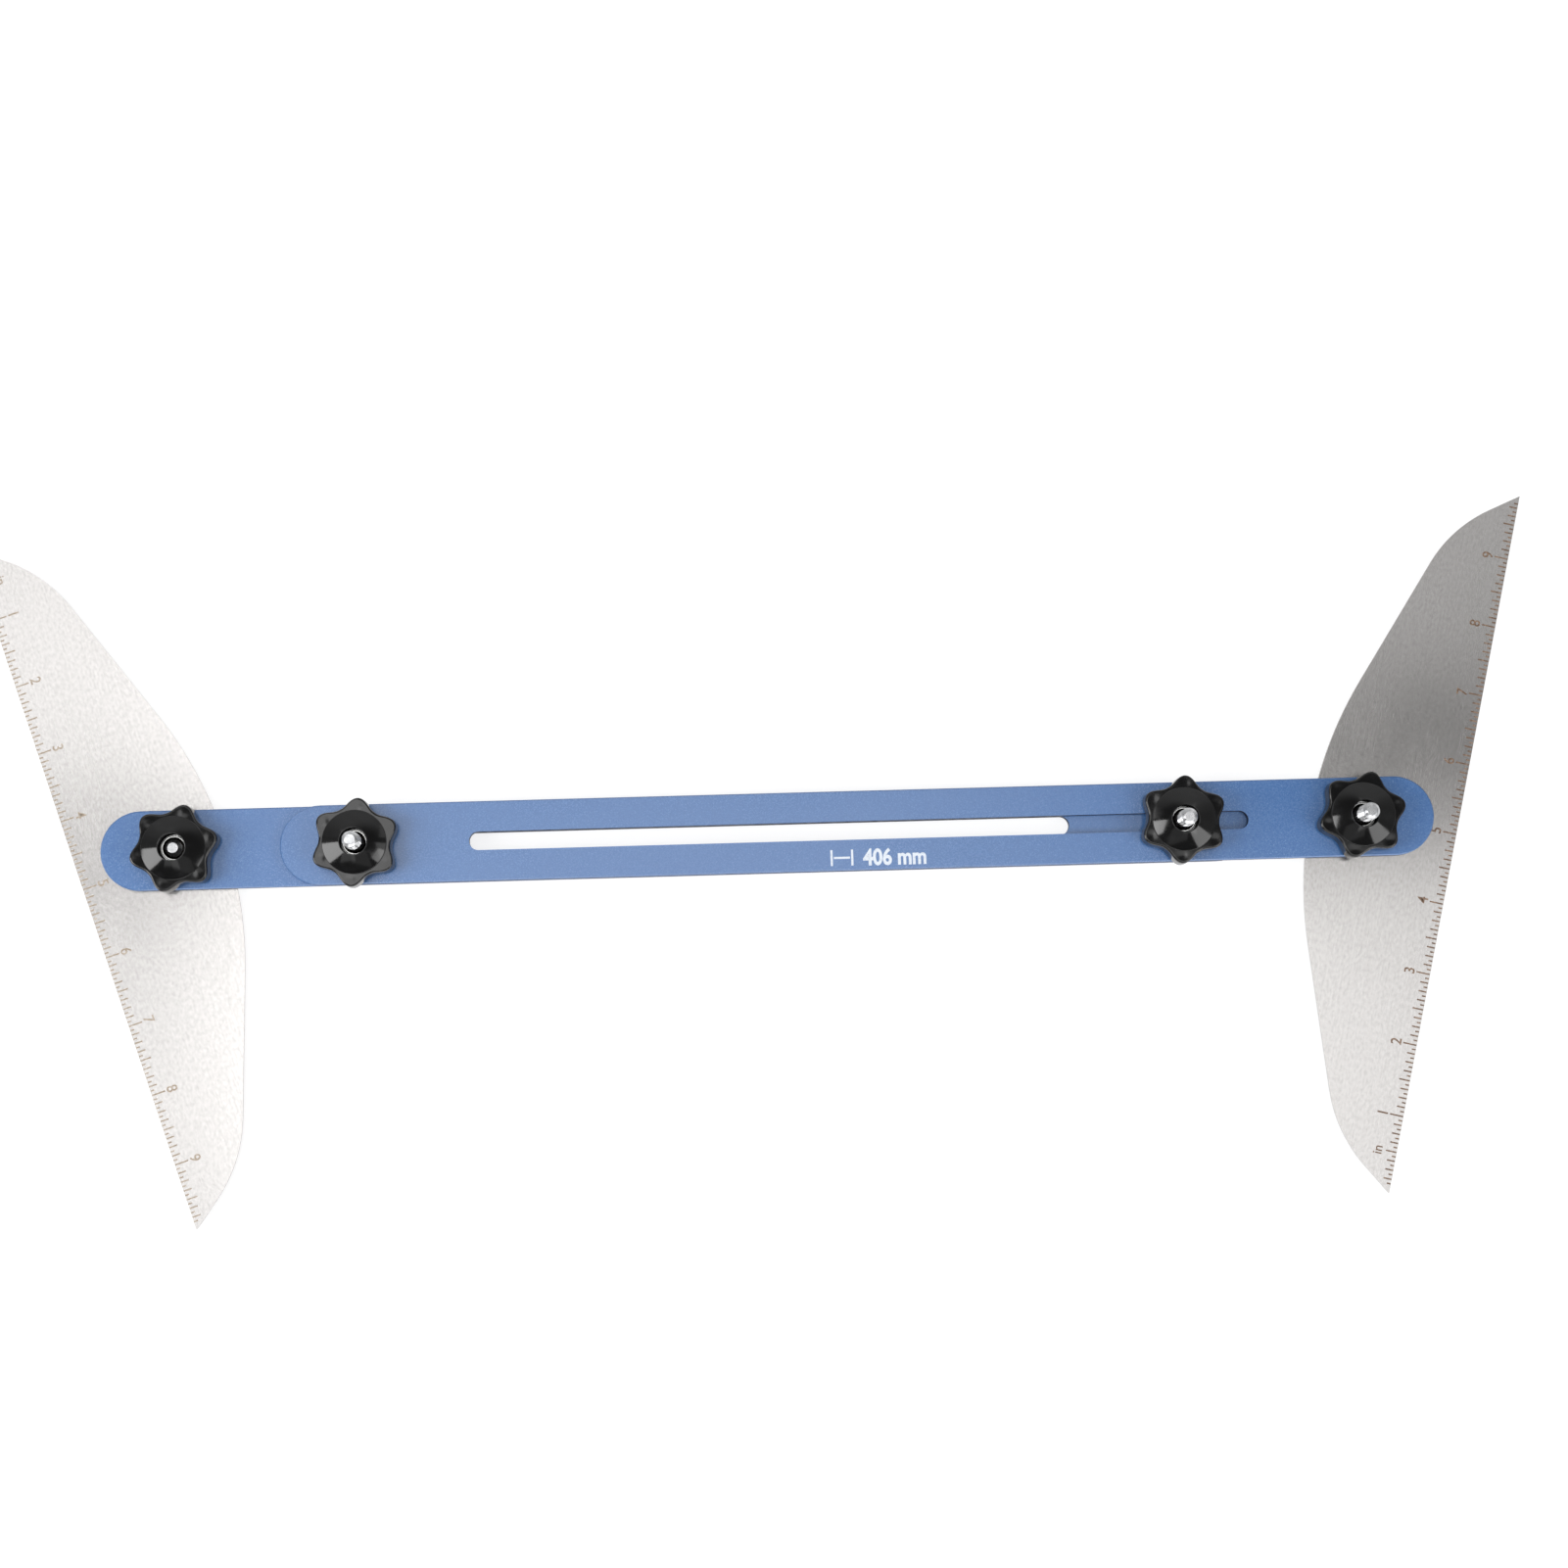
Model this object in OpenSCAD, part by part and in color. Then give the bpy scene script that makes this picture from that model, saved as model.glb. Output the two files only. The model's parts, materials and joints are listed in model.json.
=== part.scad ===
// Stair tread gauge: two slotted blue bars that slide on each other, with a ruled steel plate
// pivoting under each outer end, held by four bolts and four star knobs. All sizes in mm.

/* [Bars] */
// Length of each bar
bar_len = 406.4; // [300:0.1:600]
// Width of each bar
bar_w = 28; // [22:0.5:40]
// Thickness of each bar
bar_t = 3; // [2:0.1:5]
// Chamfer round the edges of each bar
edge_break = 0.4; // [0.2:0.05:0.8]
// Distance from a bar's end to the end of its slot
slot_margin = 66; // [50:0.5:75]
// Distance from a bar's end to the bolt hole near it
hole_inset = 27; // [20:0.1:32]
// How far the upper bar is drawn out past the lower one
extension = 63.1; // [56:0.1:240]

/* [Plates] */
// Length of a plate's straight ruled edge
plate_len = 254; // [200:1:320]
// Width of a plate from the ruled edge to its crown
plate_w = 52.2; // [46:0.1:60]
// Thickness of a plate
plate_t = 1.5; // [1:0.1:2.5]
// Distance from the pivot hole to the ruled edge
pivot_to_edge = 36; // [32:0.1:39]
// Radius of the crown opposite the ruled edge
crown_r = 145; // [110:1:180]
// Slope of the straight flanks beside the crown, in degrees
flank_angle = 19.4; // [15:0.1:23]
// Slope of the end cuts that run to the tips, in degrees
tip_angle = 53; // [48:0.5:60]
// Radius between a flank and an end cut
corner_r = 50; // [20:1:60]
// Turn of the left plate from square, in degrees
left_swing = 18.2; // [-45:0.1:45]
// Turn of the right plate from square, in degrees
right_swing = -14; // [-45:0.1:45]

/* [Bolts] */
// Diameter over the thread
bolt_d = 6; // [5:0.1:7]
// Length under the head of the three long bolts
bolt_len = 25; // [22:0.5:45]
// Length under the head of the left pivot bolt
short_bolt_len = 13; // [12:0.5:28]
// Diameter of the mushroom head
head_d = 13; // [11:0.1:16]
// Height of the mushroom head
head_h = 2.4; // [1.8:0.1:3.5]
// Diameter of the flat in the middle of the head
head_flat_d = 7; // [4:0.1:9]
// Width of the square neck under the head
neck_w = 6; // [5:0.1:7]
// Chamfer at the end of the thread
thread_chamfer = 0.8; // [0.3:0.1:1.2]

/* [Knobs] */
// Diameter over the lobes
knob_d = 31.4; // [26:0.1:40]
// Diameter across the valleys between the lobes
valley_d = 25.2; // [23.5:0.1:25.5]
// Height of the lobed flange
flange_h = 6.5; // [4:0.1:8.5]
// Diameter of the cone where it stands on the flange
cone_d = 22.4; // [18:0.1:23]
// Height of the upright rim at the foot of the cone
cone_rim = 0.7; // [0.3:0.1:1.5]
// Width of the flat rim round the mouth of the bore
mouth_rim = 0.3; // [0.2:0.05:1]
// How much wider the mouth of the bore is than the insert's seat, on each side
mouth_flare = 0.42; // [0.1:0.01:0.8]
// Height of the whole knob
knob_h = 10.2; // [9.6:0.1:16]
// Length of the threaded insert, which lies at the bottom of the bore
insert_len = 5.2; // [4:0.1:8]
// Wall of the threaded insert
insert_wall = 1.02; // [0.8:0.01:1.6]
// Width of the flat rim left round the insert's countersink
insert_rim = 0.22; // [0.1:0.01:0.4]
// Diameter of the washer under a knob
washer_d = 12.5; // [10.5:0.1:16]
// Thickness of the washer
washer_t = 1.2; // [0.8:0.1:2]

/* [Clearances] */
// Radial gap where a part turns or slides on a bolt
turn_gap = 0.08; // [0.05:0.01:0.15]
// Gap on each side of a square neck in its hole
neck_gap = 0.1; // [0.05:0.01:0.2]
// Gap on each side of a square neck in the long slot
slot_gap = 0.25; // [0.1:0.01:0.6]

/* [Hidden] */
$fn = 96;

lobes = 6;
lobe_sharpness = 1.25;
lobe_steps = 96;
arc_steps = 12;
through = 1;
// Turn of each knob at rest, from the left, in degrees
knob_turns = [13.9, 24.4, 25.2, 13.4];

blue = "#3f68a8";
steel = "#a9a7a3";
zinc = "#c9ccd0";
brass = "#b5a36a";
black = "#141416";

// Outline of a plate: x runs away from the pivot towards the ruled edge, y along it
half_len = plate_len / 2;
crown_x = pivot_to_edge - plate_w;
crown_end = [crown_x + crown_r * (1 - cos(flank_angle)), crown_r * sin(flank_angle)];
tan_f = tan(flank_angle);
tan_t = tan(tip_angle);
// Where the flank and the end cut would meet if the corner were sharp
corner_y = (half_len * tan_t - (pivot_to_edge - crown_end[0]) - crown_end[1] * tan_f) / (tan_t - tan_f);
corner_x = pivot_to_edge - tan_t * (half_len - corner_y);
corner_turn = tip_angle - flank_angle;
// The corner's radius is limited by the length of the end cut and of the flank
end_cut = norm([pivot_to_edge - corner_x, half_len - corner_y]);
flank = norm([corner_x - crown_end[0], corner_y - crown_end[1]]);
corner_round = min(corner_r, 0.9 * min(end_cut, flank) / tan(corner_turn / 2));
corner_run = corner_round * tan(corner_turn / 2);
corner_start = [corner_x - corner_run * sin(flank_angle), corner_y - corner_run * cos(flank_angle)];
corner_centre = corner_start + corner_round * [cos(flank_angle), -sin(flank_angle)];

function crown_point(a) = [crown_x + crown_r * (1 - cos(a)), crown_r * sin(a)];
function corner_point(a) = corner_centre + corner_round * [-cos(a), sin(a)];

upper_half = concat(
    [for (i = [0 : arc_steps]) crown_point(flank_angle * i / arc_steps)],
    [for (i = [0 : arc_steps]) corner_point(flank_angle + corner_turn * i / arc_steps)],
    [[pivot_to_edge, half_len]]);
plate_outline = concat([for (i = [len(upper_half) - 1 : -1 : 0]) upper_half[i]],
                       [for (i = [1 : len(upper_half) - 1]) [upper_half[i][0], -upper_half[i][1]]]);

// Levels of the stack, from the face that the gauge lies on
left_plate_z = head_h;
lower_bar_z = left_plate_z + plate_t;
upper_bar_z = lower_bar_z + bar_t;
right_plate_z = upper_bar_z - plate_t;
top_z = upper_bar_z + bar_t;

// Holes and slots, from the bolts that pass through them
hole_d = bolt_d + 2 * turn_gap;
shank_w = max(bolt_d, neck_w);
square_w = shank_w + 2 * neck_gap;
slot_w = shank_w + 2 * slot_gap;

// Insert and bore, from the bolt outwards
insert_d = hole_d + 2 * insert_wall;
insert_seat_d = insert_d + 2 * turn_gap;
mouth_d = insert_seat_d + 2 * mouth_flare;
countersink = insert_wall - insert_rim;

// Bolts along the bars, from the middle between the two pivots
pivot_x = (bar_len + extension) / 2 - hole_inset;
clamp_x = (bar_len - extension) / 2 - hole_inset;
slot_half = bar_len / 2 - slot_margin - slot_w / 2;

// Footprint of the whole gauge, whose middle is the origin
function turned(points, a) = [for (p = points)
    [p[0] * cos(a) - p[1] * sin(a), p[0] * sin(a) + p[1] * cos(a)]];
right_points = turned(plate_outline, right_swing);
left_points = turned(plate_outline, 180 + left_swing);
bar_reach = (bar_len + extension) / 2;
max_x = max(bar_reach, pivot_x + max([for (p = right_points) p[0]]));
min_x = min(-bar_reach, -pivot_x + min([for (p = left_points) p[0]]));
max_y = max([for (p = concat(right_points, left_points)) p[1]]);
min_y = min([for (p = concat(right_points, left_points)) p[1]]);
middle = [(min_x + max_x) / 2, (min_y + max_y) / 2];

// Position, from the footprint's middle
module at(x, z) translate([x - middle[0], -middle[1], z]) children();

// Half of a bar's cross-section with its edges broken, from the middle line outwards
function half_section() = [
    [0, 0], [bar_w / 2 - edge_break, 0], [bar_w / 2, edge_break],
    [bar_w / 2, bar_t - edge_break], [bar_w / 2 - edge_break, bar_t], [0, bar_t]];

// A bar with round ends, its outer bolt hole round and towards +X, its inner hole square
module bar() {
    run = bar_len - bar_w;
    hole_x = bar_len / 2 - hole_inset;
    difference() {
        union() {
            for (side = [0, 1])
                translate([-run / 2, 0, 0]) mirror([0, side, 0])
                    rotate([90, 0, 90]) linear_extrude(run) polygon(half_section());
            for (turn = [0, 180])
                rotate(turn) translate([run / 2, 0, 0])
                    rotate(-90) rotate_extrude(angle = 180) polygon(half_section());
        }
        translate([-slot_half, -slot_w / 2, -through]) cube([2 * slot_half, slot_w, bar_t + 2 * through]);
        for (side = [-1, 1])
            translate([side * slot_half, 0, -through]) cylinder(d = slot_w, h = bar_t + 2 * through);
        translate([hole_x, 0, -through]) cylinder(d = hole_d, h = bar_t + 2 * through);
        translate([-hole_x - square_w / 2, -square_w / 2, -through])
            cube([square_w, square_w, bar_t + 2 * through]);
    }
}

// A thin plate with its ruled edge towards +X and a square hole for the bolt's neck
module plate() {
    difference() {
        linear_extrude(plate_t) polygon(plate_outline);
        translate([-square_w / 2, -square_w / 2, -through]) cube([square_w, square_w, plate_t + 2 * through]);
    }
}

// A mushroom-head bolt standing on its head, with a square neck of the given length under the head
module bolt(length, neck_len) {
    thread_r = bolt_d / 2;
    dome = head_h / 3;
    rotate_extrude() polygon([
        [0, 0], [head_flat_d / 2, 0], [head_d / 2 - dome, dome], [head_d / 2, 2 * dome], [head_d / 2, head_h],
        [thread_r, head_h], [thread_r, head_h + length - thread_chamfer],
        [thread_r - thread_chamfer, head_h + length], [0, head_h + length]]);
    translate([-neck_w / 2, -neck_w / 2, head_h]) cube([neck_w, neck_w, neck_len]);
}

module washer() {
    difference() {
        cylinder(d = washer_d, h = washer_t);
        translate([0, 0, -through]) cylinder(d = hole_d, h = washer_t + 2 * through);
    }
}

// Star outline: the radius swells from the valleys to the lobes with a sharpened cosine
function star_swell(a) = pow((1 + cos(lobes * a)) / 2, lobe_sharpness);
function star_radius(a) = (valley_d + (knob_d - valley_d) * star_swell(a)) / 2;
star = [for (i = [0 : lobe_steps - 1]) let (a = 360 * i / lobe_steps) star_radius(a) * [cos(a), sin(a)]];

// A star knob: lobed flange and low cone, with a flaring bore above the insert's seat
module knob() {
    difference() {
        union() {
            linear_extrude(flange_h) polygon(star);
            translate([0, 0, flange_h]) rotate_extrude() polygon([
                [0, 0], [cone_d / 2, 0], [cone_d / 2, cone_rim],
                [mouth_d / 2 + mouth_rim, knob_h - flange_h], [0, knob_h - flange_h]]);
        }
        rotate_extrude() polygon([
            [0, -through], [insert_seat_d / 2, -through], [insert_seat_d / 2, insert_len],
            [mouth_d / 2, knob_h], [mouth_d / 2, knob_h + through], [0, knob_h + through]]);
    }
}

// A threaded bush inside a knob, countersunk at the top
module insert() {
    bore_r = hole_d / 2;
    rotate_extrude() polygon([
        [bore_r, 0], [insert_d / 2, 0], [insert_d / 2, insert_len], [bore_r + countersink, insert_len],
        [bore_r, insert_len - countersink]]);
}

module upper_bar() color(blue) at(extension / 2, upper_bar_z) bar();
module lower_bar() color(blue) at(-extension / 2, lower_bar_z) rotate(180) bar();
module left_plate() color(steel) at(-pivot_x, left_plate_z) rotate(180 + left_swing) plate();
module right_plate() color(steel) at(pivot_x, right_plate_z) rotate(right_swing) plate();

module left_pivot_bolt() color(zinc) at(-pivot_x, left_plate_z - head_h)
    rotate(left_swing) bolt(short_bolt_len, plate_t);
module left_clamp_bolt() color(zinc) at(-clamp_x, lower_bar_z - head_h) bolt(bolt_len, bar_t);
module right_clamp_bolt() color(zinc) at(clamp_x, lower_bar_z - head_h) bolt(bolt_len, bar_t);
module right_pivot_bolt() color(zinc) at(pivot_x, right_plate_z - head_h)
    rotate(right_swing) bolt(bolt_len, plate_t);

// The left pivot's knob stands on the lower bar, the other three on the upper bar
module left_pivot_washer() color(zinc) at(-pivot_x, upper_bar_z) washer();
module left_clamp_washer() color(zinc) at(-clamp_x, top_z) washer();
module right_clamp_washer() color(zinc) at(clamp_x, top_z) washer();
module right_pivot_washer() color(zinc) at(pivot_x, top_z) washer();

module left_pivot_knob() color(black) at(-pivot_x, upper_bar_z + washer_t) rotate(knob_turns[0]) knob();
module left_clamp_knob() color(black) at(-clamp_x, top_z + washer_t) rotate(knob_turns[1]) knob();
module right_clamp_knob() color(black) at(clamp_x, top_z + washer_t) rotate(knob_turns[2]) knob();
module right_pivot_knob() color(black) at(pivot_x, top_z + washer_t) rotate(knob_turns[3]) knob();

module left_pivot_insert() color(brass) at(-pivot_x, upper_bar_z + washer_t) insert();
module left_clamp_insert() color(brass) at(-clamp_x, top_z + washer_t) insert();
module right_clamp_insert() color(brass) at(clamp_x, top_z + washer_t) insert();
module right_pivot_insert() color(brass) at(pivot_x, top_z + washer_t) insert();

upper_bar();
lower_bar();
left_plate();
right_plate();
left_pivot_bolt();
left_clamp_bolt();
right_clamp_bolt();
right_pivot_bolt();
left_pivot_washer();
left_clamp_washer();
right_clamp_washer();
right_pivot_washer();
left_pivot_knob();
left_clamp_knob();
right_clamp_knob();
right_pivot_knob();
left_pivot_insert();
left_clamp_insert();
right_clamp_insert();
right_pivot_insert();
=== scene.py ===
"""Looks of a stair tread gauge: finishes, star knobs, bolts, ruled scales and studio on its frame."""

from __future__ import annotations

import json
import logging
import math
from dataclasses import dataclass
from enum import Enum
from typing import Any, Sequence, Union

import bpy
import numpy as np
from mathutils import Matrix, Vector
from numpy.typing import NDArray

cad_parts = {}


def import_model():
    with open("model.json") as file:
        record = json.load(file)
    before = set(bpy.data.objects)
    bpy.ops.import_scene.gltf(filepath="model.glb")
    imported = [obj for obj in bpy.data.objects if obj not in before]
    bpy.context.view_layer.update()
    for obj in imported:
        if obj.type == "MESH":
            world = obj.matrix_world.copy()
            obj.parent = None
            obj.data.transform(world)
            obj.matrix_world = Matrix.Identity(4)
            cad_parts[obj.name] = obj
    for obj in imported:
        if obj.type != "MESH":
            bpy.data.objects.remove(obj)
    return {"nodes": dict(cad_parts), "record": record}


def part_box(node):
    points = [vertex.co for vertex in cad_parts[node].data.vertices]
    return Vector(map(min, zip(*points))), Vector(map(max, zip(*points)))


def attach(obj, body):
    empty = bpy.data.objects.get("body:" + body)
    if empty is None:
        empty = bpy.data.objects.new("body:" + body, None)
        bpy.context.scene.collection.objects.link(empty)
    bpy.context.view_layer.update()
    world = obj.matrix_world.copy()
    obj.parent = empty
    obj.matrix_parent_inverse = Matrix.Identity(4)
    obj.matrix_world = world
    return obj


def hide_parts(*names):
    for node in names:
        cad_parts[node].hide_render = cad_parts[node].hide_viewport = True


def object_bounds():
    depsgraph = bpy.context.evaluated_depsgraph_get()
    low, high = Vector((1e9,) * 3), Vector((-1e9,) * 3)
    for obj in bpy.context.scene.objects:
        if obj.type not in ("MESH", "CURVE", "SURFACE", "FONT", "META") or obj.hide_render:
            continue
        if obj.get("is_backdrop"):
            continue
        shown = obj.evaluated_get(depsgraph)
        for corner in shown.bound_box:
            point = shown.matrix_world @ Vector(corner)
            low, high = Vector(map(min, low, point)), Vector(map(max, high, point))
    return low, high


LOG = logging.getLogger("stair_tread_gauge")
MM = 0.001
INCH = 25.4 * MM
TAU = 2 * math.pi
PHOTO_WIDTH = 1601

Array = NDArray[np.float64]
Indices = NDArray[np.int64]
Colour = tuple[float, float, float]
Cells = Union[float, tuple[float, float, float]]
Operand = Union["Signal", float]


def srgb(*levels: int) -> Colour:
    """Turn a colour as a screen writes it into linear light.

    By the sRGB rule, dark levels lie on a straight line and the others on a shifted power of 2.4.

    Args:
        levels: Red, green and blue from 0 to 255.

    Returns:
        The linear red, green and blue.
    """
    level = np.array(levels) / 255
    light = np.where(level <= 0.04045, level / 12.92, ((level + 0.055) / 1.055) ** 2.4)
    return tuple(light.tolist())


def as_grids(rows: Sequence[tuple[Any, Any]], columns: int) -> tuple[Array, Array]:
    """Lay the rows of a turned profile out as two grids.

    Args:
        rows: Radius and height of each run of rows: a number, a value a column, or a grid.
        columns: Number of columns round the axis.

    Returns:
        The radius and the height by row and column.
    """
    ring = np.ones(columns)
    grids = [np.broadcast_arrays(np.atleast_2d(radius * ring), height * ring) for radius, height in rows]
    return np.concatenate([radius for radius, _ in grids]), np.concatenate([height for _, height in grids])


def corner_points(mesh: bpy.types.Mesh) -> NDArray[np.float32]:
    """Read the corner points of a mesh.

    Args:
        mesh: The mesh.

    Returns:
        The points, one a row.
    """
    flat = np.empty(3 * len(mesh.vertices), np.float32)
    mesh.vertices.foreach_get("co", flat)
    return flat.reshape(-1, 3)


class Station(Enum):
    """The four bolts along the gauge, from the left."""

    LEFT_PIVOT = "left_pivot"
    LEFT_CLAMP = "left_clamp"
    RIGHT_CLAMP = "right_clamp"
    RIGHT_PIVOT = "right_pivot"


class Side(Enum):
    """The two ruled plates."""

    LEFT = "left"
    RIGHT = "right"


class Ends(Enum):
    """How a skin over rings of points is closed."""

    JOINED = "the last ring joins the first"
    CAPPED = "the first and last rings are fanned to their centres"


class Signal:
    """One output socket of a node tree. Arithmetic on it adds Math nodes."""

    def __init__(self, graph: Graph, socket: bpy.types.NodeSocket | None) -> None:
        """Keep the socket and the graph that it belongs to."""
        self.graph = graph
        self.socket = socket

    def _math(self, operation: str, first: Operand, second: Operand = 0.0) -> Signal:
        """Add one Math node."""
        return self.graph.node("ShaderNodeMath", {"operation": operation}, {0: first, 1: second})

    def __add__(self, other: Operand) -> Signal:
        """Sum of the two."""
        return self._math("ADD", self, other)

    __radd__ = __add__

    def __sub__(self, other: Operand) -> Signal:
        """This less the other."""
        return self._math("SUBTRACT", self, other)

    def __rsub__(self, other: Operand) -> Signal:
        """The other less this."""
        return self._math("SUBTRACT", other, self)

    def __mul__(self, other: Operand) -> Signal:
        """Product of the two."""
        return self._math("MULTIPLY", self, other)

    __rmul__ = __mul__

    def __abs__(self) -> Signal:
        """Size without its sign."""
        return self._math("ABSOLUTE", self)

    def larger(self, other: Operand) -> Signal:
        """The larger of the two."""
        return self._math("MAXIMUM", self, other)

    def swing(self, size: float) -> Signal:
        """Distance from one half, times a size."""
        return (self - 0.5) * size

    def step(self, low: float, high: float) -> Signal:
        """Smooth step from 0 at low to 1 at high.

        Args:
            low: Value at which the step starts.
            high: Value at which the step is done.

        Returns:
            The stepped value.
        """
        settings = {"interpolation_type": "SMOOTHSTEP"}
        sockets = {"Value": self, "From Min": low, "From Max": high}
        return self.graph.node("ShaderNodeMapRange", settings, sockets)


class Graph:
    """A material's or the world's node tree, filled through one node method."""

    def __init__(self, tree: bpy.types.NodeTree) -> None:
        """Empty the tree and keep it."""
        tree.nodes.clear()
        self.tree = tree

    def node(
        self,
        kind: str,
        settings: dict[str, Any] | None = None,
        sockets: dict[str | int, Any] | None = None,
        output: str | int = 0,
    ) -> Signal:
        """Add one node, set it up and link it.

        Args:
            kind: Blender's name of the node type.
            settings: Properties of the node, which are set first.
            sockets: Values or signals by input identifier, name or place.
            output: Identifier, name or place of the output that is wanted.

        Returns:
            The signal of that output, or an empty one where the node has no outputs.
        """
        made = self.tree.nodes.new(kind)
        for key, value in (settings or {}).items():
            setattr(made, key, value)
        for key, value in (sockets or {}).items():
            socket = self._find(made.inputs, key)
            if isinstance(value, Signal):
                self.tree.links.new(value.socket, socket)
            else:
                socket.default_value = value
        return Signal(self, self._find(made.outputs, output) if len(made.outputs) else None)

    @staticmethod
    def _find(sockets: Any, key: str | int) -> bpy.types.NodeSocket:
        """Pick a socket.

        Args:
            sockets: Inputs or outputs of a node.
            key: Place, identifier or name of the socket.

        Returns:
            The socket.
        """
        if isinstance(key, int):
            return sockets[key]
        return next((s for s in sockets if s.identifier == key), None) or sockets[key]

    def place(self, cells: Sequence[float], turn: float) -> Signal:
        """Object coordinates, turned about Z and then counted in cells of a pattern.

        Args:
            cells: Size of a cell along each axis of the pattern, in metres.
            turn: Turn of the pattern from the part's axes, in radians.

        Returns:
            The coordinate vector.
        """
        spot = self.node("ShaderNodeTexCoord", output="Object")
        turned = {"Vector": spot, "Rotation": (0.0, 0.0, -turn)}
        spot = self.node("ShaderNodeMapping", {"vector_type": "POINT"}, turned)
        counts = tuple(1 / cell for cell in cells)
        return self.node("ShaderNodeVectorMath", {"operation": "MULTIPLY"}, {0: spot, 1: counts})

    def noise(self, cells: Cells, detail: float, turn: float = 0.0) -> Signal:
        """Soft noise from 0 to 1.

        Args:
            cells: Size of a cell in metres, one for all axes or one for each.
            detail: Number of finer layers.
            turn: Turn of the pattern from the part's axes, in radians.

        Returns:
            The noise value.
        """
        sizes = cells if isinstance(cells, tuple) else (cells,) * 3
        sockets = {"Vector": self.place(sizes, turn), "Scale": 1.0, "Detail": detail}
        return self.node("ShaderNodeTexNoise", {"noise_dimensions": "3D"}, sockets)

    def blend(self, share: Operand, first: Signal | Colour, second: Signal | Colour) -> Signal:
        """Mix two colours.

        Args:
            share: Weight of the second colour.
            first: Colour or signal at weight 0.
            second: Colour or signal at weight 1.

        Returns:
            The mixed colour.
        """
        start = first if isinstance(first, Signal) else (*first, 1.0)
        end = second if isinstance(second, Signal) else (*second, 1.0)
        sockets = {"Factor_Float": share, "A_Color": start, "B_Color": end}
        return self.node("ShaderNodeMix", {"data_type": "RGBA"}, sockets, "Result_Color")

    def bump(self, height: Signal, depth: float) -> Signal:
        """Normal of a relief that runs from 0 to 1 times the depth, which is in metres."""
        return self.node("ShaderNodeBump", None, {"Height": height, "Distance": depth, "Strength": 1.0})

    def principled(self, sockets: dict[str, Any]) -> Signal:
        """Blender's general surface shader, from values or signals by input name."""
        return self.node("ShaderNodeBsdfPrincipled", None, sockets)

    def level(self) -> Signal:
        """One where the surface faces straight up or down, nought where it stands upright."""
        normal = self.node("ShaderNodeNewGeometry", output="Normal")
        return abs(self.node("ShaderNodeSeparateXYZ", None, {0: normal}, "Z"))

    def seen(self) -> Signal:
        """Tell the rays that see a thing from those that only carry light.

        Returns:
            One for rays from the camera, and for what metal mirrors and glass lets through.
        """
        camera = self.node("ShaderNodeLightPath", output="Is Camera Ray")
        glossy = self.node("ShaderNodeLightPath", output="Is Glossy Ray")
        through = self.node("ShaderNodeLightPath", output="Is Transmission Ray")
        return camera.larger(glossy).larger(through)


@dataclass(frozen=True)
class Finish:
    """A surface finish that becomes one material."""

    name: str

    def material(self) -> bpy.types.Material:
        """Make the material.

        Returns:
            The material with its nodes.
        """
        made = bpy.data.materials.new(self.name)
        made.use_nodes = True
        graph = Graph(made.node_tree)
        graph.node("ShaderNodeOutputMaterial", None, {"Surface": self.shader(graph)})
        return made

    def shader(self, graph: Graph) -> Signal:
        """Shader of the finish, which each kind gives."""
        raise NotImplementedError

    def dress(self, target: bpy.types.Object) -> None:
        """Put the finish on an object in place of what it has."""
        target.data.materials.clear()
        target.data.materials.append(self.material())


@dataclass(frozen=True)
class BlueCoat(Finish):
    """Satin blue coat on the bars: fine grain, soft clouds, and painted shade on the upright walls, a dull
    dark colour.
    """

    body: Colour = (0.046, 0.137, 0.353)
    cloud: Colour = (0.077, 0.184, 0.415)
    # Near-black painted shade for the upright walls.
    wall: Colour = (0.045, 0.05, 0.072)
    grain: float = 0.42 * MM
    grain_depth: float = 0.014 * MM
    grain_contrast: float = 3.6
    cloud_cells: Cells = (45 * MM, 30 * MM, 30 * MM)
    # Cell size of the noise that makes the painted wall shade patchy.
    shade_patches: float = 2.5 * MM
    roughness: float = 0.25
    refraction: float = 1.7
    wall_roughness: float = 0.8
    wall_gloss: float = 0.1

    def shader(self, graph: Graph) -> Signal:
        """Colour clouds and grain on a smooth dielectric coat, mixed by the slope with painted shade, a
        dull dark colour on the upright walls.

        Args:
            graph: The material's node tree.

        Returns:
            The surface shader.
        """
        grain = graph.noise(self.grain, 3.0)
        cloud = graph.noise(self.cloud_cells, 3.0)
        share = cloud.step(0.3, 0.7) * 0.2 + grain.swing(self.grain_contrast) + 0.4
        shade_patches = graph.noise(self.shade_patches, 4.0).step(0.3, 0.7)
        coat = graph.principled(
            {
                "Base Color": graph.blend(share, self.body, self.cloud),
                "Roughness": self.roughness + grain.swing(0.16) + cloud.swing(0.1),
                "Normal": graph.bump(grain, self.grain_depth),
                "IOR": self.refraction,
            }
        )
        # Painted shade: a dull near-black surface for the upright walls.
        shaded_wall = graph.principled(
            {
                "Base Color": (*self.wall, 1.0),
                "Roughness": self.wall_roughness,
                "Specular IOR Level": self.wall_gloss,
            }
        )
        # Share of painted shade: three quarters to all on upright walls, varied in patches, none on flat
        # faces.
        upright = (1 - graph.level().step(0.25, 0.85)) * (0.75 + shade_patches * 0.25)
        return graph.node("ShaderNodeMixShader", None, {0: upright, 1: coat, 2: shaded_wall})


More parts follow.
